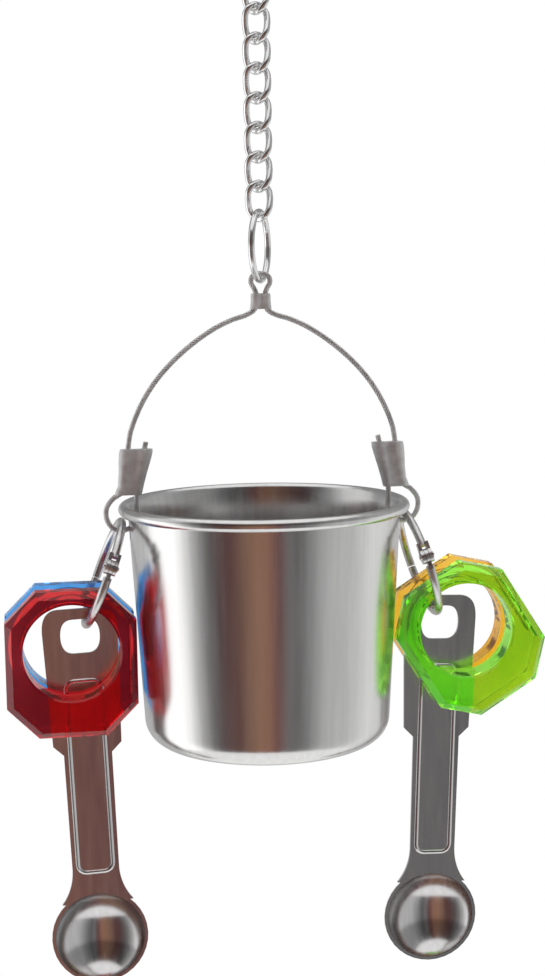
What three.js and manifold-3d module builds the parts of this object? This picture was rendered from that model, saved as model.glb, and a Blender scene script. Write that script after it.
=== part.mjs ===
// Hanging pail feeder swing: chain, ring, wire-rope bail, steel pail and two
// book rings that each carry a measuring spoon between two faceted rings.
// Millimetres, +Z up, X along the bail, -Y towards the viewer.
// The origin is the top of the first chain link, where a hook holds it.
import * as THREE from 'three';
import Module from 'manifold-3d';

const wasm = await Module();
wasm.setup();

// ---- driving sizes ----
const GAP = 0.3;
const LINK_COUNT = 8;
const LINK_LENGTH = 14.8;
const LINK_WIDTH = 9.9;
const LINK_WIRE = 2.2;
const LINK_TWIST = 90;
const CHAIN_YAW = -13;

const RING_OD = 26.1;
const RING_WIRE = 2.3;
const RING_YAW = -22;

const CABLE_DIA = 2;
const CABLE_BORE = 2.5;
const EYE_CROWN_Z = 80.4;

const RIM_OD = 104;
const BEAD_DIA = 4.2;
const WALL = 0.8;
const BEAD_OVERHANG = 4.3;
const BODY_TAPER = 3.4;
const PAIL_HEIGHT = 87;
const BASE_FILLET = 9;
const WALL_HOLE_DIA = 6;
const WALL_HOLE_Z = -9.9;

const CLIP_R = 19.2;
const CLIP_WIRE = 3;
const CLIP_OFF_WALL = 3.3;
const CLIP_Z = -6.2;
const CLIP_LEAN_LEFT = 21;
const CLIP_LEAN_RIGHT = 17;
const KNUCKLE_ANGLE = -74;
const KNUCKLE_R = 2.6;
const LUG_THICK = 1.4;
const EAR_THICK = 1.2;
const PIN_DIA = 1.6;
const PIN_BORE = 1.76;
const PIN_LENGTH = 5.4;
const KNUCKLE_NECK = 5;
const CLIP_SEAM = 0.6;
const NECK_SHARE = 0.9;

const FACET_WIDTH = 46;
const FACET_HEIGHT = 52;
const FACET_CHAMFER = 11;
const FACET_HOLE = 34;
const FACET_HOLE_UP = 4.5;
const FACET_THICK = 11;
const FACET_BEVEL = 2.4;
const FACET_EDGE = 2.6;
const FACET_SET_LEFT = -0.5;
const FACET_SET_RIGHT = 0.7;
const FACET_TURN_RIGHT = 32;

const SPOON_THICK = 1.2;
const SPOON_HEAD_HALF = 13.4;
const SPOON_SHOULDER_HALF = 12.2;
const SPOON_HANDLE_HALF = 8.6;
const SPOON_HOLE_WIDE = 14;
const SPOON_HOLE_TALL = 12.4;
const SPOON_HEAD_TOP = 10;
const SPOON_SHOULDER = 43;
const SPOON_BOWL_AT = 111.5;
const SPOON_BOWL_R = 17.4;
const SPOON_BOWL_DEPTH = 9.5;
const SPOON_RIB = 0.6;
const RIB_TOP = 16;
const RIB_END = 87;
const RIB_INSET = 2.3;
const RIB_CORNER = 3;
const SPOON_SIDE = 2.2;
const SPOON_LEAN = 2.1;

// ---- sizes that follow ----
const BODY_TOP_R = RIM_OD / 2 - BEAD_OVERHANG;
const BODY_BASE_R = BODY_TOP_R - BODY_TAPER;
const CLIP_X = BODY_TOP_R + CLIP_OFF_WALL;
const FACET_OUT_LEFT = BODY_TOP_R + FACET_WIDTH / 2 + FACET_SET_LEFT;
const FACET_OUT_RIGHT = BODY_TOP_R + FACET_WIDTH / 2 + FACET_SET_RIGHT;
const WIRE_STEP = LINK_WIRE + GAP;
const LINK_CENTRE = LINK_LENGTH - LINK_WIRE;
const LINK_PITCH = LINK_CENTRE - WIRE_STEP;
const RING_R = (RING_OD - RING_WIRE) / 2;
const RING_LOW_Z = EYE_CROWN_Z - (CABLE_DIA + RING_WIRE) / 2 - GAP;
const RING_TOP_Z = RING_LOW_Z + 2 * RING_R;
const LAST_LINK_Z = RING_TOP_Z - (LINK_WIRE + RING_WIRE) / 2 - GAP;
const HANG_Z = LAST_LINK_Z + LINK_CENTRE + (LINK_COUNT - 1) * LINK_PITCH;
const FACET_NEAR = SPOON_THICK / 2 + SPOON_RIB + GAP;

const rad = (deg) => (deg * Math.PI) / 180;
const v3 = (x, y, z) => new THREE.Vector3(x, y, z);

// ---- materials ----
const bright = new THREE.MeshStandardMaterial({ color: '#c9cbd0', roughness: 0.2, metalness: 1 });
const rope = new THREE.MeshStandardMaterial({ color: '#9a9da2', roughness: 0.35, metalness: 1 });
const crimp = new THREE.MeshStandardMaterial({ color: '#b4b6ba', roughness: 0.4, metalness: 1 });
const satin = new THREE.MeshStandardMaterial({ color: '#b5b3b1', roughness: 0.32, metalness: 1 });
const nickel = new THREE.MeshStandardMaterial({ color: '#b0aeaa', roughness: 0.25, metalness: 1 });
const spoonSteel = new THREE.MeshStandardMaterial({ color: '#a9a7a6', roughness: 0.22, metalness: 1 });
const tinted = (color) => new THREE.MeshStandardMaterial({ color, roughness: 0.1, metalness: 0 });

// ---- solids ----
function signedVolume(positions, corners) {
  const [a, b, c] = [v3(), v3(), v3()];
  let volume = 0;
  for (let i = 0; i < corners.length; i += 3) {
    a.fromArray(positions, corners[i] * 3);
    b.fromArray(positions, corners[i + 1] * 3);
    c.fromArray(positions, corners[i + 2] * 3);
    volume += a.dot(b.cross(c));
  }
  return volume;
}

function fromFaces(positions, faces) {
  const corners = faces.flat();
  if (signedVolume(positions, corners) < 0) corners.reverse();
  const geometry = new THREE.BufferGeometry();
  geometry.setAttribute('position', new THREE.Float32BufferAttribute(positions, 3));
  geometry.setIndex(corners);
  geometry.computeVertexNormals();
  return geometry;
}

// Skin over a row of sections that all have the same number of points.
function skin(sections, closed) {
  const count = sections[0].length;
  const positions = [];
  const faces = [];
  for (const section of sections) {
    for (const point of section) positions.push(point.x, point.y, point.z);
  }
  const rows = closed ? sections.length : sections.length - 1;
  for (let i = 0; i < rows; i += 1) {
    const next = (i + 1) % sections.length;
    for (let j = 0; j < count; j += 1) {
      const k = (j + 1) % count;
      faces.push([i * count + j, next * count + j, next * count + k]);
      faces.push([i * count + j, next * count + k, i * count + k]);
    }
  }
  if (!closed) {
    for (const end of [0, sections.length - 1]) {
      const centre = v3(0, 0, 0);
      for (const point of sections[end]) centre.addScaledVector(point, 1 / count);
      const hub = positions.length / 3;
      positions.push(centre.x, centre.y, centre.z);
      for (let j = 0; j < count; j += 1) {
        const pair = [end * count + j, end * count + ((j + 1) % count)];
        faces.push(end === 0 ? [hub, pair[0], pair[1]] : [hub, pair[1], pair[0]]);
      }
    }
  }
  return fromFaces(positions, faces);
}

// Round wire along a row of centres; each side vector fixes how the section sits.
function wire(centres, sides, radius, facets, closed) {
  const last = centres.length - 1;
  const sections = centres.map((centre, i) => {
    const before = centres[closed ? (i + last) % centres.length : Math.max(i - 1, 0)];
    const after = centres[closed ? (i + 1) % centres.length : Math.min(i + 1, last)];
    const along = after.clone().sub(before).normalize();
    const first = sides[i].clone().addScaledVector(along, -sides[i].dot(along)).normalize();
    const second = along.clone().cross(first);
    const points = [];
    for (let j = 0; j < facets; j += 1) {
      const turn = (2 * Math.PI * j) / facets;
      const point = centre.clone().addScaledVector(first, radius * Math.cos(turn));
      points.push(point.addScaledVector(second, radius * Math.sin(turn)));
    }
    return points;
  });
  return skin(sections, closed);
}

function toSolid(geometry) {
  const flat = geometry.index ? geometry.toNonIndexed() : geometry;
  const place = flat.getAttribute('position');
  const seen = new Map();
  const vertices = [];
  const corners = [];
  for (let i = 0; i < place.count; i += 1) {
    const spot = [place.getX(i), place.getY(i), place.getZ(i)].map((n) => Math.round(n * 1e4) / 1e4 + 0);
    const key = spot.join(' ');
    if (!seen.has(key)) {
      seen.set(key, vertices.length / 3);
      vertices.push(...spot);
    }
    corners.push(seen.get(key));
  }
  const triangles = [];
  for (let i = 0; i < corners.length; i += 3) {
    const [a, b, c] = corners.slice(i, i + 3);
    if (a !== b && b !== c && a !== c) triangles.push(a, b, c);
  }
  if (signedVolume(vertices, triangles) < 0) triangles.reverse();
  const mesh = new wasm.Mesh({
    numProp: 3,
    vertProperties: new Float32Array(vertices),
    triVerts: new Uint32Array(triangles),
  });
  return new wasm.Manifold(mesh);
}

function fromSolid(solid) {
  const mesh = solid.getMesh();
  const geometry = new THREE.BufferGeometry();
  const positions = [];
  for (let i = 0; i < mesh.vertProperties.length; i += mesh.numProp) {
    positions.push(mesh.vertProperties[i], mesh.vertProperties[i + 1], mesh.vertProperties[i + 2]);
  }
  geometry.setAttribute('position', new THREE.Float32BufferAttribute(positions, 3));
  geometry.setIndex(Array.from(mesh.triVerts));
  const flat = geometry.toNonIndexed();
  flat.computeVertexNormals();
  return flat;
}

const moved = (geometry, x, y, z) => geometry.clone().translate(x, y, z);
const joined = (list) => list.map(toSolid).reduce((sum, solid) => sum.add(solid));

function cylinderAlongX(radius, length, facets) {
  return new THREE.CylinderGeometry(radius, radius, length, facets).rotateZ(Math.PI / 2);
}

// ---- assembly ----
const group = new THREE.Group();
group.name = 'pail_feeder_swing';

function place(name, geometry, material) {
  const mesh = new THREE.Mesh(geometry.translate(0, 0, -HANG_Z), material);
  mesh.name = name;
  group.add(mesh);
}

// ---- chain ----
// One twisted link: a long oval whose ends stand a quarter turn apart.
function chainLink() {
  const half = (LINK_WIDTH - LINK_WIRE) / 2;
  const straight = LINK_CENTRE / 2 - half;
  const outline = [];
  for (let i = 0; i <= 8; i += 1) {
    const turn = rad(i * 22.5);
    outline.push([half * Math.cos(turn), straight + half * Math.sin(turn)]);
  }
  for (let i = 1; i < 4; i += 1) outline.push([-half, straight - (i * straight) / 2]);
  for (let i = 0; i <= 8; i += 1) {
    const turn = rad(180 + i * 22.5);
    outline.push([half * Math.cos(turn), -straight + half * Math.sin(turn)]);
  }
  for (let i = 1; i < 4; i += 1) outline.push([half, -straight + (i * straight) / 2]);
  const centres = [];
  const sides = [];
  for (const [x, z] of outline) {
    const turn = rad((LINK_TWIST * z) / LINK_CENTRE + CHAIN_YAW);
    centres.push(v3(x * Math.cos(turn), x * Math.sin(turn), z));
    sides.push(v3(-Math.sin(turn), Math.cos(turn), 0));
  }
  return wire(centres, sides, LINK_WIRE / 2, 10, true);
}
const linkShape = chainLink();
for (let k = 1; k <= LINK_COUNT; k += 1) {
  const low = LAST_LINK_Z + (LINK_COUNT - k) * LINK_PITCH;
  place(`chain_link_${k}`, moved(linkShape, 0, 0, low + LINK_CENTRE / 2), bright);
}

// ---- ring between chain and bail ----
function roundRing(radius, thickness, steps, facets) {
  const profile = [];
  for (let i = 0; i <= facets; i += 1) {
    const turn = (2 * Math.PI * i) / facets;
    const out = radius + (thickness / 2) * Math.cos(turn);
    profile.push(new THREE.Vector2(out, (thickness / 2) * Math.sin(turn)));
  }
  return new THREE.LatheGeometry(profile, steps);
}
const topRing = roundRing(RING_R, RING_WIRE, 40, 10).rotateZ(Math.PI / 2).rotateZ(rad(RING_YAW));
place('top_ring', topRing.translate(0, 0, RING_LOW_Z + RING_R), bright);

// ---- bail: one wire rope from dead end to dead end ----
// The points are taken on a wall of radius ROPE_WALL_R. Near the wall they keep to it,
// and the arc above spreads with it, down to the straight neck under the eye.
const ROPE_WALL_R = 47.7;
const ROPE_ARC_Z = 26;
const ROPE_ARC_X = 46.9;
const ROPE_NECK_X = 5.2;
const wallShift = BODY_TOP_R - ROPE_WALL_R;
const spread = (x, z) => {
  const share = Math.max(0, (x - ROPE_NECK_X) / (ROPE_ARC_X - ROPE_NECK_X));
  return x + wallShift * (z < ROPE_ARC_Z ? 1 : share);
};
const halfRope = [
  [41.7, 22], [42.5, 18.4], [44, 11.5], [45.2, 5], [45.5, 1], [45.3, -2.5],
  [45.1, -5.2], [45.8, -7.4], [47.4, -8.2], [51, -9.2], [54.3, -8], [56.2, -4.8],
  [56.1, -1], [53.8, 2.2], [51.2, 4], [50, 6.4], [49.2, 11], [48.5, 15.6],
  [48, 19.9], [46.9, 26], [42.4, 36.3], [36.2, 45.2], [27.3, 53.9],
  [17.2, 61], [10.2, 64.3], [5.2, 65.9], [2.5, 67.5], [1.65, 69.5], [1.6, 73.1],
  [2.3, 75.1], [3.35, 77.1], [2.9, 79.3],
].map(([x, z]) => [spread(x, z), z]);
const ropePoints = halfRope.map(([x, z]) => v3(-x, 0, z));
ropePoints.push(v3(0, 0, EYE_CROWN_Z));
for (const [x, z] of halfRope.slice().reverse()) ropePoints.push(v3(x, 0, z));
const ropeCurve = new THREE.CatmullRomCurve3(ropePoints, false, 'centripetal');

function ropeTube(radius, facets) {
  const centres = ropeCurve.getPoints(192);
  return wire(centres, centres.map(() => v3(0, 1, 0)), radius, facets, false);
}
place('bail_cable', ropeTube(CABLE_DIA / 2, 8), rope);
const ropeSpace = toSolid(ropeTube(CABLE_BORE / 2, 12));

// Crimped sleeve with two barrels; each level is [z, barrel x, barrel x, half width, half depth].
function sleeve(levels) {
  const sections = levels.map(([z, inner, outer, wide, deep]) => {
    const middle = (inner + outer) / 2;
    const reach = (outer - inner) / 2;
    const points = [];
    for (const side of [1, -1]) {
      for (let i = 0; i <= 8; i += 1) {
        const turn = rad(-108 + i * 27);
        const x = side * (reach + wide * Math.cos(turn));
        points.push(v3(middle + x, side * deep * Math.sin(turn), z));
      }
      points.push(v3(middle, side * deep * 0.66, z));
    }
    return points;
  });
  return fromSolid(toSolid(skin(sections, false)).subtract(ropeSpace));
}
const ferruleLevels = [
  [3.4, 45.4, 51.3, 1.75, 1.8], [4.4, 45.3, 50.9, 2, 2.1], [6.6, 44.9, 49.9, 2.1, 2.2],
  [10.6, 44.1, 49.2, 2.4, 2.3], [15, 43.2, 48.6, 2.9, 2.5], [18.3, 42.5, 48.15, 3.1, 2.6],
  [19.6, 42.2, 48.05, 2.8, 2.3],
].map(([z, inner, outer, wide, deep]) => [z, inner + wallShift, outer + wallShift, wide, deep]);
place('right_ferrule', sleeve(ferruleLevels), crimp);
const leftLevels = ferruleLevels.map(([z, inner, outer, wide, deep]) => [z, -outer, -inner, wide, deep]);
place('left_ferrule', sleeve(leftLevels), crimp);
const apexLevels = [
  [67.9, -2.3, 2.3, 1.6, 1.7], [68.7, -1.85, 1.85, 1.9, 1.95], [70.5, -1.6, 1.6, 1.95, 2],
  [72.5, -1.6, 1.6, 1.95, 2], [73.4, -1.65, 1.65, 1.65, 1.7],
];
place('bail_apex_sleeve', sleeve(apexLevels), crimp);

// ---- pail ----
function pailBody() {
  const bead = BEAD_DIA / 2;
  const beadR = RIM_OD / 2 - bead;
  const profile = [new THREE.Vector2(0, -PAIL_HEIGHT)];
  const addFillet = (radius, corner, low, side) => {
    for (let i = 0; i <= 6; i += 1) {
      const turn = rad(side > 0 ? -90 + i * 15 : -i * 15);
      const x = corner + radius * Math.cos(turn);
      profile.push(new THREE.Vector2(x, low + radius + radius * Math.sin(turn)));
    }
  };
  const corner = BODY_BASE_R - BASE_FILLET;
  addFillet(BASE_FILLET, corner, -PAIL_HEIGHT, 1);
  for (let i = 0; i <= 11; i += 1) {
    const turn = rad(-128 + i * 27);
    const x = beadR + bead * Math.cos(turn);
    profile.push(new THREE.Vector2(x, -bead + bead * Math.sin(turn)));
  }
  profile.push(new THREE.Vector2(BODY_TOP_R - WALL, -BEAD_DIA - 0.8));
  addFillet(BASE_FILLET - WALL, corner, -PAIL_HEIGHT + WALL, -1);
  profile.push(new THREE.Vector2(0, -PAIL_HEIGHT + WALL));
  const body = new THREE.LatheGeometry(profile, 72).rotateX(Math.PI / 2);
  const holes = moved(cylinderAlongX(WALL_HOLE_DIA / 2, 2 * RIM_OD, 28), 0, 0, WALL_HOLE_Z);
  return fromSolid(toSolid(body).subtract(toSolid(holes)));
}
place('pail', pailBody(), satin);

// ---- book ring: two hinged halves and their pin ----
// Local frame: the wire's top at the origin, the ring in the YZ plane, front at -Y.
const onClip = (deg) => v3(0, CLIP_R * Math.sin(rad(deg)), CLIP_R * Math.cos(rad(deg)) - CLIP_R);

function clipArc(from, to, steps) {
  const centres = [];
  for (let i = 0; i <= steps; i += 1) centres.push(onClip(from + ((to - from) * i) / steps));
  return wire(centres, centres.map(() => v3(1, 0, 0)), CLIP_WIRE / 2, 10, false);
}

function clipLug(thick, across, direction) {
  const at = onClip(KNUCKLE_ANGLE);
  const disc = moved(cylinderAlongX(KNUCKLE_R, thick, 20), across, at.y, at.z);
  const neck = new THREE.BoxGeometry(thick, CLIP_WIRE * NECK_SHARE, KNUCKLE_NECK);
  neck.translate(0, 0, (direction * KNUCKLE_NECK) / 2);
  neck.rotateX(-rad(KNUCKLE_ANGLE) - Math.PI / 2);
  return [disc, moved(neck, across, at.y, at.z)];
}

function clipParts() {
  const at = onClip(KNUCKLE_ANGLE);
  const bore = toSolid(moved(cylinderAlongX(PIN_BORE / 2, 2 * PIN_LENGTH, 16), 0, at.y, at.z));
  const earAt = (LUG_THICK + EAR_THICK) / 2 + GAP / 2;
  const start = 11;
  const split = KNUCKLE_ANGLE + 180;
  const slotSize = LUG_THICK + GAP;
  const slot = toSolid(moved(cylinderAlongX(KNUCKLE_R + GAP, slotSize, 20), 0, at.y, at.z));
  const upper = joined([
    clipArc(KNUCKLE_ANGLE + start, split - CLIP_SEAM, 20),
    ...clipLug(EAR_THICK, earAt, 1),
    ...clipLug(EAR_THICK, -earAt, 1),
  ]);
  const lower = joined([
    clipArc(split + CLIP_SEAM, 360 + KNUCKLE_ANGLE - start, 20),
    ...clipLug(LUG_THICK, 0, -1),
  ]);
  return {
    upper: fromSolid(upper.subtract(slot).subtract(bore)),
    lower: fromSolid(lower.subtract(bore)),
    pin: moved(cylinderAlongX(PIN_DIA / 2, PIN_LENGTH, 16), 0, at.y, at.z),
  };
}

// ---- faceted ring ----
// Local frame: centre of the hole at the origin, hole along Y.
function facetRing() {
  const count = 48;
  const outline = (inset) => {
    const wide = FACET_WIDTH / 2 - inset;
    const tall = FACET_HEIGHT / 2 - inset;
    const cut = FACET_CHAMFER - inset * (2 - Math.SQRT2);
    const points = [];
    const corners = [
      [wide, -tall + cut], [wide, tall - cut], [wide - cut, tall], [-wide + cut, tall],
      [-wide, tall - cut], [-wide, -tall + cut], [-wide + cut, -tall], [wide - cut, -tall],
    ];
    for (let i = 0; i < 8; i += 1) {
      const [a, b] = [corners[i], corners[(i + 1) % 8]];
      for (let j = 0; j < count / 8; j += 1) {
        const t = (8 * j) / count;
        points.push([a[0] + (b[0] - a[0]) * t, a[1] + (b[1] - a[1]) * t - FACET_HOLE_UP]);
      }
    }
    return points;
  };
  const plain = outline(0);
  const circle = (radius) => plain.map(([x, z]) => {
    const turn = Math.atan2(z, x);
    return [radius * Math.cos(turn), radius * Math.sin(turn)];
  });
  const half = FACET_THICK / 2;
  const layers = [
    [outline(FACET_BEVEL), -half], [plain, -half + FACET_EDGE], [plain, half - FACET_EDGE],
    [outline(FACET_BEVEL), half], [circle(FACET_HOLE / 2 + 0.7), half],
    [circle(FACET_HOLE / 2), half - 0.7], [circle(FACET_HOLE / 2), -half + 0.7],
    [circle(FACET_HOLE / 2 + 0.7), -half],
  ];
  return skin(layers.map(([points, y]) => points.map(([x, z]) => v3(x, y, z))), true);
}

// ---- measuring spoon ----
// Local frame: centre of the hanging hole at the origin, bowl at -Z, hollow side to -Y.
function spoonBody() {
  const plate = new THREE.Shape();
  const neckAt = -SPOON_BOWL_AT + SPOON_BOWL_R;
  plate.moveTo(SPOON_HEAD_HALF - 6, SPOON_HEAD_TOP);
  plate.quadraticCurveTo(SPOON_HEAD_HALF, SPOON_HEAD_TOP, SPOON_HEAD_HALF, 2);
  plate.lineTo(SPOON_SHOULDER_HALF, -SPOON_SHOULDER + 3.5);
  plate.lineTo(SPOON_HANDLE_HALF, -SPOON_SHOULDER);
  plate.lineTo(SPOON_HANDLE_HALF - 0.2, neckAt + 8);
  plate.quadraticCurveTo(SPOON_HANDLE_HALF, neckAt + 1, SPOON_BOWL_R - 4.6, neckAt - 4.4);
  plate.lineTo(-SPOON_BOWL_R + 4.6, neckAt - 4.4);
  plate.quadraticCurveTo(-SPOON_HANDLE_HALF, neckAt + 1, -SPOON_HANDLE_HALF + 0.2, neckAt + 8);
  plate.lineTo(-SPOON_HANDLE_HALF, -SPOON_SHOULDER);
  plate.lineTo(-SPOON_SHOULDER_HALF, -SPOON_SHOULDER + 3.5);
  plate.lineTo(-SPOON_HEAD_HALF, 2);
  plate.quadraticCurveTo(-SPOON_HEAD_HALF, SPOON_HEAD_TOP, -SPOON_HEAD_HALF + 6, SPOON_HEAD_TOP);
  const hole = new THREE.Path();
  const [w, h] = [SPOON_HOLE_WIDE / 2, SPOON_HOLE_TALL / 2];
  hole.moveTo(-2.6, h);
  hole.bezierCurveTo(-w + 1.2, h, -w, h - 2.4, -w, 0);
  hole.bezierCurveTo(-w, -h + 2, -w + 1.8, -h, -2.6, -h);
  hole.lineTo(2.6, -h);
  hole.bezierCurveTo(w - 1.8, -h, w, -h + 2, w, 0);
  hole.bezierCurveTo(w, h - 2.4, w - 1.2, h, 2.6, h);
  plate.holes.push(hole);
  const sheet = new THREE.ExtrudeGeometry(plate, { depth: SPOON_THICK, bevelEnabled: false, curveSegments: 8 });
  sheet.translate(0, 0, -SPOON_THICK / 2).rotateX(Math.PI / 2);

  const ribHalf = SPOON_HANDLE_HALF - RIB_INSET;
  const corners = [[-ribHalf, -RIB_TOP], [-ribHalf, -RIB_END], [ribHalf, -RIB_END], [ribHalf, -RIB_TOP]];
  const ribPath = [];
  corners.forEach(([x, z], i) => {
    const [sx, sz] = [Math.sign(x), z === -RIB_TOP ? 1 : -1];
    for (let j = 0; j <= 4; j += 1) {
      const begin = [90, 180, 270, 0][i];
      const turn = rad(begin + j * 22.5);
      const spot = [x - sx * RIB_CORNER + RIB_CORNER * Math.cos(turn), z - sz * RIB_CORNER + RIB_CORNER * Math.sin(turn)];
      ribPath.push(v3(spot[0], -SPOON_THICK / 2 + 0.3, spot[1]));
    }
  });
  const rib = wire(ribPath, ribPath.map(() => v3(0, 1, 0)), SPOON_RIB + 0.3, 8, true);

  const sphere = (SPOON_BOWL_R ** 2 + SPOON_BOWL_DEPTH ** 2) / (2 * SPOON_BOWL_DEPTH);
  const cap = (radius, facets) => {
    const profile = [];
    const inner = radius - sphere;
    const reach = Math.acos((sphere - SPOON_BOWL_DEPTH) / radius);
    for (let i = 0; i <= facets; i += 1) {
      const turn = (reach * i) / facets;
      profile.push(new THREE.Vector2(radius * Math.sin(turn), SPOON_BOWL_DEPTH + inner - radius * (1 - Math.cos(turn))));
    }
    return profile;
  };
  const outer = cap(sphere, 8);
  outer[0].x = 0;
  outer.push(new THREE.Vector2(SPOON_BOWL_R, -SPOON_THICK / 2));
  outer.push(new THREE.Vector2(0, -SPOON_THICK / 2));
  const inner = cap(sphere - 1, 8);
  inner[0].x = 0;
  const mouth = inner[8].x;
  inner.push(new THREE.Vector2(mouth, -SPOON_THICK));
  inner.push(new THREE.Vector2(0, -SPOON_THICK));
  const bowlSolid = toSolid(moved(new THREE.LatheGeometry(outer, 36), 0, 0, -SPOON_BOWL_AT));
  const hollow = toSolid(moved(new THREE.LatheGeometry(inner, 36), 0, 0, -SPOON_BOWL_AT));
  const whole = joined([sheet, rib]).add(bowlSolid).subtract(hollow);
  return fromSolid(whole);
}

// ---- one hanging set on each side ----
const clip = clipParts();
const facet = facetRing();
const spoon = spoonBody();

function hangingSet(side, name, lean, facetOut, facetTurn, frontName, frontTint, backName, backTint) {
  const clipPlace = new THREE.Matrix4().makeRotationY(-side * rad(lean));
  clipPlace.setPosition(side * CLIP_X, 0, CLIP_Z);
  place(`${name}_clip_upper`, clip.upper.clone().applyMatrix4(clipPlace), nickel);
  place(`${name}_clip_lower`, clip.lower.clone().applyMatrix4(clipPlace), nickel);
  place(`${name}_clip_pin`, clip.pin.clone().applyMatrix4(clipPlace), bright);

  const low = v3(0, 0, -2 * CLIP_R).applyMatrix4(clipPlace);
  const crown = SPOON_HOLE_TALL / 2 - CLIP_WIRE / 2 - GAP;
  const spoonPlace = new THREE.Matrix4().makeTranslation(low.x, low.y, low.z);
  spoonPlace.multiply(new THREE.Matrix4().makeRotationY(side * rad(SPOON_LEAN)));
  spoonPlace.multiply(new THREE.Matrix4().makeTranslation(side * SPOON_SIDE, 0, -crown));
  place(`${name}_spoon`, spoon.clone().applyMatrix4(spoonPlace), spoonSteel);

  // The wire rises towards each face of the stack, and the holes rest on it there.
  const rise = FACET_NEAR + FACET_THICK;
  const along = CLIP_R - Math.sqrt((CLIP_R - CLIP_WIRE / 2) ** 2 - rise ** 2);
  const contact = v3(0, 0, along - 2 * CLIP_R).applyMatrix4(clipPlace);
  const offset = facetOut - Math.abs(contact.x);
  const drop = Math.sqrt((FACET_HOLE / 2 - GAP - 0.5) ** 2 - offset ** 2);
  for (const [itemName, tint, where] of [[frontName, frontTint, -1], [backName, backTint, 1]]) {
    const y = where * (FACET_NEAR + FACET_THICK / 2);
    const shape = facet.clone().rotateY(-side * rad(facetTurn));
    place(itemName, shape.translate(side * facetOut, y, contact.z - drop), tinted(tint));
  }
}
hangingSet(-1, 'left', CLIP_LEAN_LEFT, FACET_OUT_LEFT, 0, 'red_ring', '#8e0f12', 'blue_ring', '#1f7fe0');
hangingSet(1, 'right', CLIP_LEAN_RIGHT, FACET_OUT_RIGHT, FACET_TURN_RIGHT, 'green_ring', '#6fe01c', 'orange_ring', '#f0a020');

export default group;
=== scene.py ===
"""Looks of the hanging pail feeder swing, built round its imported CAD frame."""

from math import cos, hypot, pi, radians, sin, sqrt

import bmesh
import bpy
from mathutils import Matrix, Vector


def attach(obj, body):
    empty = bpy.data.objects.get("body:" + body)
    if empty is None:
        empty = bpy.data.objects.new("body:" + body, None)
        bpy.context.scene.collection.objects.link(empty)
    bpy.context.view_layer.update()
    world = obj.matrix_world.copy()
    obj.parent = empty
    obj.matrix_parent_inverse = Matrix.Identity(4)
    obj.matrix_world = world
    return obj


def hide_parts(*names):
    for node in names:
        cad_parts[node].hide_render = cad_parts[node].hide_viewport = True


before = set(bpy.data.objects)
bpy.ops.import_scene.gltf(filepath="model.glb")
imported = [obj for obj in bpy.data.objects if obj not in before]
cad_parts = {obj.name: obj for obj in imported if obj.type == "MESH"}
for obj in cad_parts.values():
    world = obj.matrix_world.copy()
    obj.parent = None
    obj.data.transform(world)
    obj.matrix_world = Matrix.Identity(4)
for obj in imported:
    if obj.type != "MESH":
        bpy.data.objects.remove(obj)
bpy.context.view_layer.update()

# ---- sizes repeated from the part's source, in millimetres ----
HANG_Z = 182.5
LINK_COUNT, LINK_LENGTH, LINK_WIDTH, LINK_WIRE = 8, 14.8, 9.9, 2.2
LINK_TWIST, CHAIN_YAW = 90.0, -13.0
RING_OD, RING_WIRE, RING_YAW = 26.1, 2.3, -22.0
CABLE_DIA, EYE_CROWN_Z, GAP = 2.0, 80.4, 0.3
RIM_OD, BEAD_DIA, WALL = 104.0, 4.2, 0.8
BODY_TOP_R, BODY_BASE_R, PAIL_HEIGHT, BASE_FILLET = 47.7, 44.3, 87.0, 9.0
WALL_HOLE_DIA, WALL_HOLE_Z = 6.0, -9.9
CLIP_R, CLIP_WIRE, CLIP_X, CLIP_Z = 19.2, 3.0, 51.0, -6.2
CLIP_LEAN_LEFT, CLIP_LEAN_RIGHT = 21.0, 17.0
KNUCKLE_ANGLE, KNUCKLE_R, LUG_THICK, EAR_THICK = -74.0, 2.6, 1.4, 1.2
KNUCKLE_NECK, NECK_SHARE = 5.0, 0.9
CLIP_START, CLIP_SEAM = 11.0, 0.6  # degrees of wire left out at the knuckle and at the seam
PIN_DIA, PIN_LENGTH = 1.6, 5.4
FACET_WIDTH, FACET_HEIGHT, FACET_CHAMFER = 46.0, 52.0, 11.0
FACET_HOLE, FACET_HOLE_UP, FACET_THICK = 34.0, 4.5, 11.0
FACET_BEVEL, FACET_EDGE, HOLE_EDGE, HOLE_PLAY = 2.4, 2.6, 0.7, 0.5
FACET_OUT_LEFT, FACET_OUT_RIGHT, FACET_TURN_RIGHT = 70.2, 71.4, 32.0
SPOON_THICK, SPOON_RIB = 1.2, 0.6

LINK_CENTRE = LINK_LENGTH - LINK_WIRE
LINK_PITCH = LINK_CENTRE - LINK_WIRE - GAP
RING_R = (RING_OD - RING_WIRE) / 2
RING_LOW_Z = EYE_CROWN_Z - (CABLE_DIA + RING_WIRE) / 2 - GAP
LAST_LINK_Z = RING_LOW_Z + 2 * RING_R - (LINK_WIRE + RING_WIRE) / 2 - GAP
FACET_NEAR = SPOON_THICK / 2 + SPOON_RIB + GAP
MM = 0.001


# ---- shaders ----
NOISE_LOW, NOISE_HIGH = 0.3, 0.7
RAMP_LOW, RAMP_HIGH = 0.35, 0.65
METAL_BUMP_DEPTH, ACRYLIC_BUMP_DEPTH = 0.0001, 0.0002  # metres
ACRYLIC_CLEAR, ACRYLIC_IOR = 0.9, 1.46
ACRYLIC_CLOUD, ACRYLIC_WAVES, ACRYLIC_WAVE_SHARE = 45.0, 60.0, 0.02
ACRYLIC_ROUGH = (0.015, 0.05)


def new_material(name):
    material = bpy.data.materials.new(name)
    material.use_nodes = True
    tree = material.node_tree
    return material, tree, tree.nodes["Principled BSDF"]


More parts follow.
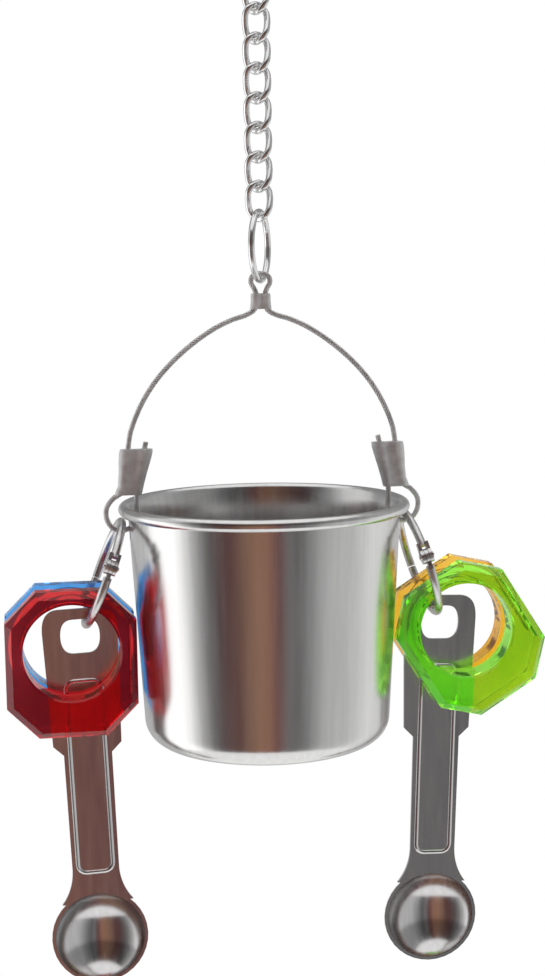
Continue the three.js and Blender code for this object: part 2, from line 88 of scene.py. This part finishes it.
def object_noise(tree, scale, stretch=(1, 1, 1), detail=3.0):
    """A noise texture on the object's own coordinates; returns its factor."""
    coordinates = tree.nodes.new("ShaderNodeTexCoord")
    mapping = tree.nodes.new("ShaderNodeMapping")
    mapping.inputs["Scale"].default_value = stretch
    noise = tree.nodes.new("ShaderNodeTexNoise")
    noise.inputs["Scale"].default_value = scale
    noise.inputs["Detail"].default_value = detail
    tree.links.new(coordinates.outputs["Object"], mapping.inputs["Vector"])
    tree.links.new(mapping.outputs["Vector"], noise.inputs["Vector"])
    return noise.outputs["Fac"]


def ranged(tree, value, low, high):
    """The value of a noise, drawn out between low and high."""
    remap = tree.nodes.new("ShaderNodeMapRange")
    remap.inputs["From Min"].default_value = NOISE_LOW
    remap.inputs["From Max"].default_value = NOISE_HIGH
    remap.inputs["To Min"].default_value = low
    remap.inputs["To Max"].default_value = high
    tree.links.new(value, remap.inputs["Value"])
    return remap.outputs["Result"]


def tinted(tree, value, first, second):
    """A colour that runs from first to second with the value."""
    ramp = tree.nodes.new("ShaderNodeValToRGB")
    ramp.color_ramp.elements[0].position = RAMP_LOW
    ramp.color_ramp.elements[0].color = (*first, 1)
    ramp.color_ramp.elements[1].position = RAMP_HIGH
    ramp.color_ramp.elements[1].color = (*second, 1)
    tree.links.new(value, ramp.inputs["Fac"])
    return ramp.outputs["Color"]


def bumped(tree, shader, value, strength, distance):
    bump = tree.nodes.new("ShaderNodeBump")
    bump.inputs["Strength"].default_value = strength
    bump.inputs["Distance"].default_value = distance
    tree.links.new(value, bump.inputs["Height"])
    tree.links.new(bump.outputs["Normal"], shader.inputs["Normal"])


def metal(name, dark, light, rough, scale, stretch=(1, 1, 1), bump=0.0):
    material, tree, shader = new_material(name)
    shader.inputs["Metallic"].default_value = 1.0
    value = object_noise(tree, scale, stretch)
    tree.links.new(tinted(tree, value, dark, light), shader.inputs["Base Color"])
    tree.links.new(ranged(tree, value, *rough), shader.inputs["Roughness"])
    if bump:
        bumped(tree, shader, value, bump, METAL_BUMP_DEPTH)
    return material


def acrylic(name, dark, light):
    material, tree, shader = new_material(name)
    shader.inputs["Transmission Weight"].default_value = ACRYLIC_CLEAR
    shader.inputs["IOR"].default_value = ACRYLIC_IOR
    cloud = object_noise(tree, ACRYLIC_CLOUD)
    tree.links.new(tinted(tree, cloud, dark, light), shader.inputs["Base Color"])
    tree.links.new(ranged(tree, cloud, *ACRYLIC_ROUGH), shader.inputs["Roughness"])
    waves = object_noise(tree, ACRYLIC_WAVES)
    bumped(tree, shader, waves, ACRYLIC_WAVE_SHARE, ACRYLIC_BUMP_DEPTH)
    return material


def grey(value):
    return (value, value, value)


chain_steel = metal("chain_steel", grey(0.76), grey(0.92), rough=(0.14, 0.28), scale=260.0)
rope_steel = metal("rope_steel", grey(0.7), grey(0.92), rough=(0.4, 0.6), scale=500.0)
crimp_metal = metal("crimp_metal", grey(0.78), grey(0.94), rough=(0.62, 0.8), scale=300.0, bump=0.35)
pail_steel = metal(
    "pail_steel", (0.71, 0.705, 0.7), (0.76, 0.755, 0.75),
    rough=(0.2, 0.25), scale=60.0, stretch=(7, 7, 0.25), bump=0.02,
)
clip_steel = metal(
    "clip_steel", (0.6, 0.595, 0.59), (0.84, 0.835, 0.83), rough=(0.2, 0.4), scale=220.0, bump=0.15,
)
spoon_steel = metal(
    "spoon_steel", (0.66, 0.65, 0.65), (0.74, 0.73, 0.73),
    rough=(0.16, 0.22), scale=70.0, stretch=(6, 6, 0.6),
)
red_acrylic = acrylic("red_acrylic", (0.56, 0.008, 0.012), (0.74, 0.02, 0.026))
blue_acrylic = acrylic("blue_acrylic", (0.04, 0.27, 0.72), (0.09, 0.4, 0.85))
green_acrylic = acrylic("green_acrylic", (0.26, 0.84, 0.03), (0.42, 0.95, 0.07))
orange_acrylic = acrylic("orange_acrylic", (0.88, 0.44, 0.02), (0.96, 0.56, 0.05))


# ---- forms ----
def finished(name, bm, body, nodes, material, sharp=38):
    """Turns a bmesh in millimetres over the rim's plane into a piece of the swing."""
    bmesh.ops.transform(bm, matrix=Matrix.Translation((0, 0, -HANG_Z)), verts=bm.verts)
    bmesh.ops.scale(bm, vec=(MM, MM, MM), verts=bm.verts)
    bmesh.ops.recalc_face_normals(bm, faces=bm.faces)
    mesh = bpy.data.meshes.new(name)
    bm.to_mesh(mesh)
    bm.free()
    mesh.polygons.foreach_set("use_smooth", [True] * len(mesh.polygons))
    mesh.set_sharp_from_angle(angle=radians(sharp))
    mesh.materials.append(material)
    piece = bpy.data.objects.new(name, mesh)
    bpy.context.scene.collection.objects.link(piece)
    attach(piece, body)
    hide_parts(*nodes)
    return piece


def skin(bm, sections, closed):
    """Joins the sections in turn, back to the first or capped at both ends."""
    rows = [[bm.verts.new(point) for point in section] for section in sections]
    count = len(rows[0])
    pairs = list(zip(rows, rows[1:])) + ([(rows[-1], rows[0])] if closed else [])
    for here, there in pairs:
        for j in range(count):
            k = (j + 1) % count
            bm.faces.new((here[j], there[j], there[k], here[k]))
    if not closed:
        bm.faces.new(rows[0])
        bm.faces.new(rows[-1])


def wire(bm, centres, sides, radius, facets, closed=False):
    """A round tube along the centres; sides say where each section's first point lies."""
    count = len(centres)
    sections = []
    for i, centre in enumerate(centres):
        before = centres[(i - 1) % count if closed else max(i - 1, 0)]
        after = centres[(i + 1) % count if closed else min(i + 1, count - 1)]
        along = (after - before).normalized()
        first = (sides[i] - along * sides[i].dot(along)).normalized()
        second = along.cross(first)
        sections.append([
            centre + radius * (first * cos(2 * pi * j / facets) + second * sin(2 * pi * j / facets))
            for j in range(facets)
        ])
    skin(bm, sections, closed)


def lathe(bm, profile, steps):
    """Turns a closed profile that starts and ends on the Z axis."""
    low = bm.verts.new((0, 0, profile[0][1]))
    high = bm.verts.new((0, 0, profile[-1][1]))
    rings = [
        [bm.verts.new((r * cos(2 * pi * i / steps), r * sin(2 * pi * i / steps), z)) for i in range(steps)]
        for r, z in profile[1:-1]
    ]
    for i in range(steps):
        k = (i + 1) % steps
        bm.faces.new((low, rings[0][k], rings[0][i]))
        bm.faces.new((high, rings[-1][i], rings[-1][k]))
        for here, there in zip(rings, rings[1:]):
            bm.faces.new((here[i], here[k], there[k], there[i]))


def rod(bm, radius, length, facets, matrix):
    """A cylinder along X at the matrix."""
    turned = matrix @ Matrix.Rotation(pi / 2, 4, "Y")
    bmesh.ops.create_cone(
        bm, cap_ends=True, segments=facets, radius1=radius, radius2=radius, depth=length, matrix=turned
    )


# ---- chain ----
BEND_STEPS, HALF_SIDE_STEPS, LINK_FACETS = 20, 4, 16
RING_STEPS, RING_FACETS = 96, 18


def link_path():
    """The centre line of one twisted link, and a direction across it at each point."""
    half = (LINK_WIDTH - LINK_WIRE) / 2
    straight = LINK_CENTRE / 2 - half
    bend = [(half * cos(pi * i / BEND_STEPS), half * sin(pi * i / BEND_STEPS)) for i in range(BEND_STEPS + 1)]
    side = [i * straight / HALF_SIDE_STEPS for i in range(1, 2 * HALF_SIDE_STEPS)]
    outline = [(x, straight + z) for x, z in bend] + [(-half, straight - z) for z in side]
    outline += [(-x, -straight - z) for x, z in bend] + [(half, -straight + z) for z in side]
    centres, sides = [], []
    for x, z in outline:
        turn = radians(LINK_TWIST * z / LINK_CENTRE + CHAIN_YAW)
        centres.append(Vector((x * cos(turn), x * sin(turn), z)))
        sides.append(Vector((-sin(turn), cos(turn), 0)))
    return centres, sides


link_centres, link_sides = link_path()
for k in range(1, LINK_COUNT + 1):
    node = f"chain_link_{k}"
    low = LAST_LINK_Z + (LINK_COUNT - k) * LINK_PITCH
    lift = Vector((0, 0, low + LINK_CENTRE / 2))
    bm = bmesh.new()
    wire(bm, [centre + lift for centre in link_centres], link_sides, LINK_WIRE / 2, LINK_FACETS, True)
    finished(f"link_{k}", bm, node, [node], chain_steel)

bm = bmesh.new()
across = Vector((-sin(radians(RING_YAW)), cos(radians(RING_YAW)), 0))
ring_axis = Vector((0, 0, 1)).cross(across)
ring_middle = Vector((0, 0, RING_LOW_Z + RING_R))
ring_turns = [2 * pi * i / RING_STEPS for i in range(RING_STEPS)]
ring_centres = [
    ring_middle + RING_R * (across * cos(turn) + Vector((0, 0, 1)) * sin(turn)) for turn in ring_turns
]
wire(bm, ring_centres, [ring_axis] * RING_STEPS, RING_WIRE / 2, RING_FACETS, True)
finished("round_ring", bm, "top_ring", ["top_ring"], chain_steel)

# ---- bail: a six-strand wire rope ----
HALF_ROPE = [
    (41.7, 22), (42.5, 18.4), (44, 11.5), (45.2, 5), (45.5, 1), (45.3, -2.5),
    (45.1, -5.2), (45.8, -7.4), (47.4, -8.2), (51, -9.2), (54.3, -8), (56.2, -4.8),
    (56.1, -1), (53.8, 2.2), (51.2, 4), (50, 6.4), (49.2, 11), (48.5, 15.6),
    (48, 19.9), (46.9, 26), (42.4, 36.3), (36.2, 45.2), (27.3, 53.9),
    (17.2, 61), (10.2, 64.3), (5.2, 65.9), (2.5, 67.5), (1.65, 69.5), (1.6, 73.1),
    (2.3, 75.1), (3.35, 77.1), (2.9, 79.3),
]
ROPE_LAY = 6.5
ROPE_STEP, SPAN_POINTS = 0.5, 12
STRANDS, STRAND_FACETS = 6, 7
STRAND_R, CORE_R, LAY_R = 0.335, 0.34, 0.63


def blend(level, spans, t):
    """Each point blended into the next over its span of knots."""
    return [
        level[n] * ((high - t) / (high - low)) + level[n + 1] * ((t - low) / (high - low))
        for n, (low, high) in enumerate(spans)
    ]


def smooth_path(points, per_span):
    """Centripetal curve through the points."""
    full = [2 * points[0] - points[1]] + points + [2 * points[-1] - points[-2]]
    out = []
    for i in range(len(points) - 1):
        p = full[i:i + 4]
        knots = [0.0]
        for a, b in zip(p, p[1:]):
            knots.append(knots[-1] + sqrt((b - a).length))
        k0, k1, k2, k3 = knots
        rounds = [[(k0, k1), (k1, k2), (k2, k3)], [(k0, k2), (k1, k3)], [(k1, k2)]]
        for j in range(per_span):
            t = k1 + (k2 - k1) * j / per_span
            level = p
            for spans in rounds:
                level = blend(level, spans, t)
            out.append(level[0])
    out.append(points[-1])
    return out


def even(points, step):
    """The same path with points an even step apart."""
    out = [points[0]]
    left = step
    for a, b in zip(points, points[1:]):
        length = (b - a).length
        done = 0.0
        while length - done >= left:
            done += left
            out.append(a.lerp(b, done / length))
            left = step
        left -= length - done
    out.append(points[-1])
    return out


rope_points = [Vector((-x, 0, z)) for x, z in HALF_ROPE] + [Vector((0, 0, EYE_CROWN_Z))]
rope_points += [Vector((x, 0, z)) for x, z in reversed(HALF_ROPE)]
rope_path = even(smooth_path(rope_points, SPAN_POINTS), ROPE_STEP)


def strand(bm, phase, lay_radius, radius):
    """One strand wound round the rope's path."""
    centres, sides = [], []
    for i, centre in enumerate(rope_path):
        along = (rope_path[min(i + 1, len(rope_path) - 1)] - rope_path[max(i - 1, 0)]).normalized()
        up = Vector((0, 1, 0))
        turn = 2 * pi * (ROPE_STEP * i / ROPE_LAY + phase)
        out = up * cos(turn) + along.cross(up) * sin(turn)
        centres.append(centre + out * lay_radius)
        sides.append(out)
    wire(bm, centres, sides, radius, STRAND_FACETS)


bm = bmesh.new()
strand(bm, 0, 0, CORE_R)
for s in range(STRANDS):
    strand(bm, s / STRANDS, LAY_R, STRAND_R)
finished("rope", bm, "bail", ["bail_cable"], rope_steel, 60)


# ---- crimped sleeves ----
SLEEVE_ROWS, SLEEVE_ARC, SLEEVE_TURN = 4, 108, 12
WAIST_SHARE = 0.66


def sleeve(name, node, levels):
    """Levels are (z, barrel x, barrel x, half width, half depth), drawn out smoothly."""
    rows = []
    for here, there in zip(levels, levels[1:]):
        for j in range(SLEEVE_ROWS):
            t = j / SLEEVE_ROWS
            rows.append([a + (b - a) * t for a, b in zip(here, there)])
    rows.append(list(levels[-1]))
    sections = []
    for z, inner, outer, wide, deep in rows:
        middle, reach = (inner + outer) / 2, (outer - inner) / 2
        points = []
        for side in (1, -1):
            for angle in range(-SLEEVE_ARC, SLEEVE_ARC + 1, SLEEVE_TURN):
                turn = radians(angle)
                x = side * (reach + wide * cos(turn))
                points.append((middle + x, side * deep * sin(turn), z))
            points.append((middle, side * deep * WAIST_SHARE, z))
        sections.append(points)
    bm = bmesh.new()
    skin(bm, sections, False)
    finished(name, bm, "bail", [node], crimp_metal, 50)


FERRULE = [
    (3.4, 45.4, 51.3, 1.75, 1.8), (4.4, 45.3, 50.9, 2, 2.1), (6.6, 44.9, 49.9, 2.1, 2.2),
    (10.6, 44.1, 49.2, 2.4, 2.3), (15, 43.2, 48.6, 2.9, 2.5), (18.3, 42.5, 48.15, 3.1, 2.6),
    (19.6, 42.2, 48.05, 2.8, 2.3),
]
sleeve("ferrule_right", "right_ferrule", FERRULE)
sleeve("ferrule_left", "left_ferrule", [(z, -b, -a, w, d) for z, a, b, w, d in FERRULE])
sleeve("apex_sleeve", "bail_apex_sleeve", [
    (67.9, -2.3, 2.3, 1.6, 1.7), (68.7, -1.85, 1.85, 1.9, 1.95), (70.5, -1.6, 1.6, 1.95, 2),
    (72.5, -1.6, 1.6, 1.95, 2), (73.4, -1.65, 1.65, 1.65, 1.7),
])


# ---- pail ----
BEAD_START, BEAD_STEP, BEAD_POINTS = -128, 13.5, 23
FILLET_STEP, FILLET_POINTS, WALL_STEPS = 7.5, 13, 10
BEAD_LIP = 0.8
PAIL_STEPS, DRILL_FACETS = 160, 48


def arc(x, z, radius, angles):
    return [(x + radius * cos(radians(angle)), z + radius * sin(radians(angle))) for angle in angles]


def between(a, b, steps):
    """The points that part the line from a to b, without its ends."""
    return [
        (a[0] + (b[0] - a[0]) * (i / steps), a[1] + (b[1] - a[1]) * (i / steps)) for i in range(1, steps)
    ]


def pail_profile():
    """Up the outside from the middle of the base, round the bead and down the inside."""
    bead = BEAD_DIA / 2
    corner = BODY_BASE_R - BASE_FILLET
    inner = BASE_FILLET - WALL
    outer_z = -PAIL_HEIGHT + BASE_FILLET
    inner_z = -PAIL_HEIGHT + WALL + inner
    quarter = [i * FILLET_STEP for i in range(FILLET_POINTS)]
    rim = arc(RIM_OD / 2 - bead, -bead, bead, [BEAD_START + i * BEAD_STEP for i in range(BEAD_POINTS)])
    inner_top = (BODY_TOP_R - WALL, -BEAD_DIA - BEAD_LIP)
    return [
        (0, -PAIL_HEIGHT), (corner / 2, -PAIL_HEIGHT),
        *arc(corner, outer_z, BASE_FILLET, [-90 + angle for angle in quarter]),
        *between((BODY_BASE_R, outer_z), rim[0], WALL_STEPS),
        *rim,
        inner_top,
        *between(inner_top, (corner + inner, inner_z), WALL_STEPS),
        *arc(corner, inner_z, inner, [-angle for angle in quarter]),
        (corner / 2, -PAIL_HEIGHT + WALL), (0, -PAIL_HEIGHT + WALL),
    ]


def cut(piece, radius, length, z):
    """Drills the piece along X."""
    bm = bmesh.new()
    rod(bm, radius * MM, length * MM, DRILL_FACETS, Matrix.Translation((0, 0, (z - HANG_Z) * MM)))
    mesh = bpy.data.meshes.new("drill")
    bm.to_mesh(mesh)
    bm.free()
    drill = bpy.data.objects.new("drill", mesh)
    bpy.context.scene.collection.objects.link(drill)
    modifier = piece.modifiers.new("drilled", "BOOLEAN")
    modifier.operation = "DIFFERENCE"
    modifier.solver = "EXACT"
    modifier.object = drill
    result = bpy.data.meshes.new_from_object(piece.evaluated_get(bpy.context.evaluated_depsgraph_get()))
    piece.modifiers.clear()
    piece.data = result
    bpy.data.objects.remove(drill)


bm = bmesh.new()
lathe(bm, pail_profile(), PAIL_STEPS)
pail = finished("pail_shell", bm, "pail", ["pail"], pail_steel, 45)
cut(pail, WALL_HOLE_DIA / 2, 2 * RIM_OD, WALL_HOLE_Z)


# ---- book rings ----
ARC_STEPS, CLIP_FACETS, LUG_FACETS, PIN_FACETS = 48, 18, 32, 24


def on_clip(deg):
    """A point on the wire's centre, by its angle from the top of the ring."""
    return Vector((0, CLIP_R * sin(radians(deg)), CLIP_R * cos(radians(deg)) - CLIP_R))


def clip_arc(bm, start, end, place):
    centres = [place @ on_clip(start + (end - start) * i / ARC_STEPS) for i in range(ARC_STEPS + 1)]
    side = place.to_3x3() @ Vector((1, 0, 0))
    wire(bm, centres, [side] * len(centres), CLIP_WIRE / 2, CLIP_FACETS)


def clip_lug(bm, thick, across, direction, place):
    """A round plate of the knuckle with the neck that joins it to its half."""
    at = on_clip(KNUCKLE_ANGLE)
    spot = place @ Matrix.Translation((across, at.y, at.z))
    rod(bm, KNUCKLE_R, thick, LUG_FACETS, spot)
    neck = spot @ Matrix.Rotation(-radians(KNUCKLE_ANGLE) - pi / 2, 4, "X")
    neck = neck @ Matrix.Translation((0, 0, direction * KNUCKLE_NECK / 2))
    neck = neck @ Matrix.Diagonal((thick, CLIP_WIRE * NECK_SHARE, KNUCKLE_NECK, 1))
    bmesh.ops.create_cube(bm, size=1, matrix=neck)


def book_ring(name, place):
    split = KNUCKLE_ANGLE + 180
    ear = (LUG_THICK + EAR_THICK) / 2 + GAP / 2
    bm = bmesh.new()
    clip_arc(bm, KNUCKLE_ANGLE + CLIP_START, split - CLIP_SEAM, place)
    for side in (1, -1):
        clip_lug(bm, EAR_THICK, side * ear, 1, place)
    upper, lower = f"{name}_clip", f"{name}_clip_lower"
    finished(f"{name}_upper_half", bm, upper, [f"{name}_clip_upper"], clip_steel)
    bm = bmesh.new()
    clip_arc(bm, split + CLIP_SEAM, 360 + KNUCKLE_ANGLE - CLIP_START, place)
    clip_lug(bm, LUG_THICK, 0, -1, place)
    finished(f"{name}_lower_half", bm, lower, [lower], clip_steel)
    at = on_clip(KNUCKLE_ANGLE)
    bm = bmesh.new()
    rod(bm, PIN_DIA / 2, PIN_LENGTH, PIN_FACETS, place @ Matrix.Translation((0, at.y, at.z)))
    finished(f"{name}_hinge_pin", bm, upper, [f"{name}_clip_pin"], chain_steel)


# ---- faceted rings ----
FACET_POINTS = 96


def facet_outline(inset, count):
    """The chamfered outline, inset all round, about the middle of the hole."""
    wide, tall = FACET_WIDTH / 2 - inset, FACET_HEIGHT / 2 - inset
    chamfer = FACET_CHAMFER - inset * (2 - sqrt(2))
    corners = [
        (wide, -tall + chamfer), (wide, tall - chamfer), (wide - chamfer, tall), (-wide + chamfer, tall),
        (-wide, tall - chamfer), (-wide, -tall + chamfer), (-wide + chamfer, -tall), (wide - chamfer, -tall),
    ]
    points = []
    for a, b in zip(corners, corners[1:] + corners[:1]):
        for j in range(count // 8):
            t = 8 * j / count
            points.append((a[0] + (b[0] - a[0]) * t, a[1] + (b[1] - a[1]) * t - FACET_HOLE_UP))
    return points


def faceted_ring(name, node, place, material):
    plain = facet_outline(0, FACET_POINTS)
    bevelled = facet_outline(FACET_BEVEL, FACET_POINTS)

    def circle(radius):
        return [(radius * x / hypot(x, z), radius * z / hypot(x, z)) for x, z in plain]

    half = FACET_THICK / 2
    layers = [
        (bevelled, -half), (plain, -half + FACET_EDGE), (plain, half - FACET_EDGE), (bevelled, half),
        (circle(FACET_HOLE / 2 + HOLE_EDGE), half), (circle(FACET_HOLE / 2), half - HOLE_EDGE),
        (circle(FACET_HOLE / 2), -half + HOLE_EDGE), (circle(FACET_HOLE / 2 + HOLE_EDGE), -half),
    ]
    bm = bmesh.new()
    skin(bm, [[place @ Vector((x, y, z)) for x, z in points] for points, y in layers], True)
    finished(name, bm, node, [node], material, 20)


# ---- what hangs at each side: book ring, spoon and two faceted rings ----
WELD = 2e-6  # metres
FLAT_ANGLE = 1  # degrees


def refined(name, node, body, material, sharp):
    """A copy of a CAD node, its flat faces merged and its curves shaded smoothly."""
    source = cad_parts[node]
    bm = bmesh.new()
    bm.from_mesh(source.data)
    bmesh.ops.transform(bm, matrix=source.matrix_world, verts=bm.verts)
    bmesh.ops.remove_doubles(bm, verts=bm.verts, dist=WELD)
    bmesh.ops.scale(bm, vec=(1 / MM,) * 3, verts=bm.verts)
    bmesh.ops.translate(bm, vec=(0, 0, HANG_Z), verts=bm.verts)
    bmesh.ops.dissolve_limit(bm, angle_limit=radians(FLAT_ANGLE), verts=bm.verts, edges=bm.edges)
    for layer in list(bm.loops.layers.uv):
        bm.loops.layers.uv.remove(layer)
    piece = finished(name, bm, body, [node], material, sharp)
    flat = piece.modifiers.new("flat_faces", "WEIGHTED_NORMAL")
    flat.keep_sharp = True


def hanging_set(side, name, lean, facet_out, facet_turn, rings):
    place = Matrix.Translation((side * CLIP_X, 0, CLIP_Z)) @ Matrix.Rotation(-side * radians(lean), 4, "Y")
    book_ring(name, place)
    refined(f"{name}_measuring_spoon", f"{name}_spoon", f"{name}_spoon", spoon_steel, 32)
    rise = FACET_NEAR + FACET_THICK
    along = CLIP_R - sqrt((CLIP_R - CLIP_WIRE / 2) ** 2 - rise ** 2)
    contact = place @ Vector((0, 0, along - 2 * CLIP_R))
    offset = facet_out - abs(contact.x)
    drop = sqrt((FACET_HOLE / 2 - GAP - HOLE_PLAY) ** 2 - offset ** 2)
    for node, slot, material, where in rings:
        y = where * (FACET_NEAR + FACET_THICK / 2)
        spot = Matrix.Translation((side * facet_out, y, contact.z - drop))
        spot = spot @ Matrix.Rotation(-side * radians(facet_turn), 4, "Y")
        faceted_ring(f"{node}_facets", node, spot, material)


hanging_set(-1, "left", CLIP_LEAN_LEFT, FACET_OUT_LEFT, 0, [
    ("red_ring", "red_acrylic", red_acrylic, -1), ("blue_ring", "blue_acrylic", blue_acrylic, 1),
])
hanging_set(1, "right", CLIP_LEAN_RIGHT, FACET_OUT_RIGHT, FACET_TURN_RIGHT, [
    ("green_ring", "green_acrylic", green_acrylic, -1), ("orange_ring", "orange_acrylic", orange_acrylic, 1),
])


# ---- stage, light and camera ----
FLOOR_SIZE, FLOOR_Z = 4, -0.75


def add_stage(name, bm, material):
    mesh = bpy.data.meshes.new(name)
    bm.to_mesh(mesh)
    bm.free()
    mesh.materials.append(material)
    piece = bpy.data.objects.new(name, mesh)
    bpy.context.scene.collection.objects.link(piece)
    return piece


def floor_material():
    """White to the camera and matt to everything else."""
    material = bpy.data.materials.new("pale_floor")
    material.use_nodes = True
    tree = material.node_tree
    tree.nodes.clear()
    path = tree.nodes.new("ShaderNodeLightPath")
    glow = tree.nodes.new("ShaderNodeEmission")
    glow.inputs["Color"].default_value = (1, 1, 1, 1)
    matt = tree.nodes.new("ShaderNodeBsdfDiffuse")
    matt.inputs["Color"].default_value = (0.85, 0.85, 0.85, 1)
    mix = tree.nodes.new("ShaderNodeMixShader")
    out = tree.nodes.new("ShaderNodeOutputMaterial")
    tree.links.new(path.outputs["Is Camera Ray"], mix.inputs["Fac"])
    tree.links.new(matt.outputs[0], mix.inputs[1])
    tree.links.new(glow.outputs[0], mix.inputs[2])
    tree.links.new(mix.outputs[0], out.inputs["Surface"])
    return material


bm = bmesh.new()
bmesh.ops.create_grid(bm, size=FLOOR_SIZE, matrix=Matrix.Translation((0, 0, FLOOR_Z)))
floor = add_stage("floor", bm, floor_material())
floor.visible_glossy = False
floor.visible_transmission = False

# What the steel mirrors: a round studio wall in upright bands, seen by gloss alone.
# Azimuth in degrees from the -Y side towards +X, then the colour there.
BANDS = [
    (-180, grey(0.5)), (-126, grey(0.6)), (-116, grey(1.5)), (-90, grey(1.5)), (-82, grey(1.15)),
    (-72, grey(0.55)), (-62, grey(0.22)), (-52, (0.1, 0.085, 0.085)), (-42, (0.12, 0.062, 0.06)),
    (-33, (0.13, 0.065, 0.06)), (-26, (0.22, 0.13, 0.095)), (-16, (0.33, 0.18, 0.12)),
    (-3, (0.34, 0.17, 0.115)), (-0.5, (0.16, 0.068, 0.07)), (6.5, (0.15, 0.064, 0.068)),
    (8.5, grey(0.15)), (11, grey(0.21)), (15, grey(0.21)), (18, grey(0.11)),
    (25, grey(0.18)), (36, grey(0.36)), (46, grey(0.55)), (70, grey(0.6)), (100, grey(0.9)),
    (140, grey(0.6)), (180, grey(0.5)),
]
WALL_R, WALL_COLUMNS = 2.2, 360
# Heights of the wall in metres, and the share of its bands' light there.
WALL_LEVELS = [(-2.6, 1.0), (-0.12, 1.0), (0.1, 0.5), (2.3, 0.5)]


def band_material():
    material = bpy.data.materials.new("studio_bands")
    material.use_nodes = True
    tree = material.node_tree
    tree.nodes.clear()
    colours = tree.nodes.new("ShaderNodeVertexColor")
    colours.layer_name = "band"
    glow = tree.nodes.new("ShaderNodeEmission")
    out = tree.nodes.new("ShaderNodeOutputMaterial")
    tree.links.new(colours.outputs["Color"], glow.inputs["Color"])
    tree.links.new(glow.outputs[0], out.inputs["Surface"])
    return material


def band_colour(azimuth):
    for (a, first), (b, second) in zip(BANDS, BANDS[1:]):
        if azimuth <= b:
            t = (azimuth - a) / (b - a)
            return tuple(p + (q - p) * t for p, q in zip(first, second))
    return BANDS[-1][1]


bm = bmesh.new()
layer = bm.verts.layers.float_color.new("band")
columns = []
for i in range(WALL_COLUMNS):
    azimuth = -180 + i  # one column to a degree
    x, y = WALL_R * sin(radians(azimuth)), -WALL_R * cos(radians(azimuth))
    column = [bm.verts.new((x, y, z)) for z, _ in WALL_LEVELS]
    for vert, (_, share) in zip(column, WALL_LEVELS):
        vert[layer] = (*(share * part for part in band_colour(azimuth)), 1)
    columns.append(column)
for here, there in zip(columns, columns[1:] + columns[:1]):
    for low in range(len(WALL_LEVELS) - 1):
        bm.faces.new((here[low], there[low], there[low + 1], here[low + 1]))
wall = add_stage("studio_wall", bm, band_material())
for ray in ("camera", "diffuse", "transmission", "volume_scatter", "shadow"):
    setattr(wall, f"visible_{ray}", False)

world = bpy.data.worlds.new("studio")
bpy.context.scene.world = world
world.use_nodes = True
background = world.node_tree.nodes["Background"]
background.inputs["Color"].default_value = (1, 1, 1, 1)
background.inputs["Strength"].default_value = 1.0


LIGHT_AIM = Vector((0, 0, -0.2))


def soft_light(name, place, size, power):
    data = bpy.data.lights.new(name, "AREA")
    data.size = size
    data.energy = power
    light = bpy.data.objects.new(name, data)
    light.visible_glossy = False
    bpy.context.scene.collection.objects.link(light)
    light.location = place
    aim = LIGHT_AIM - Vector(place)
    light.rotation_euler = aim.to_track_quat("-Z", "Y").to_euler()


soft_light("key", (-0.9, -1.1, 0.6), 0.7, 9)
soft_light("fill", (1.2, -0.5, 0.3), 0.9, 5)

# Camera fitted to the rim's ellipse, the chain and the spoons; 545 by 976 pixels.
CAMERA_AROUND = 8.0
CAMERA_OUT = 0.600
CAMERA_OVER_RIM = 0.080
CAMERA_DOWN = 7.2
CAMERA_ROLL = -0.9
CAMERA_ASIDE = 0.3
FOCAL_PIXELS = 1692.0
FRAME_HIGH = 976
SENSOR_HIGH = 24.0

camera_data = bpy.data.cameras.new("camera")
camera = bpy.data.objects.new("camera", camera_data)
bpy.context.scene.collection.objects.link(camera)
bpy.context.scene.camera = camera
camera_data.sensor_fit = "VERTICAL"
camera_data.sensor_height = SENSOR_HIGH
camera_data.lens = FOCAL_PIXELS / FRAME_HIGH * SENSOR_HIGH
camera_data.clip_start = 0.01
around = radians(CAMERA_AROUND)
camera.location = (-CAMERA_OUT * sin(around), -CAMERA_OUT * cos(around), -HANG_Z * MM + CAMERA_OVER_RIM)
heading = radians(CAMERA_AROUND + CAMERA_ASIDE)
down = radians(CAMERA_DOWN)
ahead = Vector((sin(heading) * cos(down), cos(heading) * cos(down), -sin(down)))
right = Vector((cos(heading), -sin(heading), 0))
up = right.cross(ahead)
basis = Matrix((right, up, -ahead)).transposed()
camera.rotation_euler = (basis @ Matrix.Rotation(radians(CAMERA_ROLL), 3, "Z")).to_euler()

bpy.context.scene.view_settings.view_transform = "Standard"
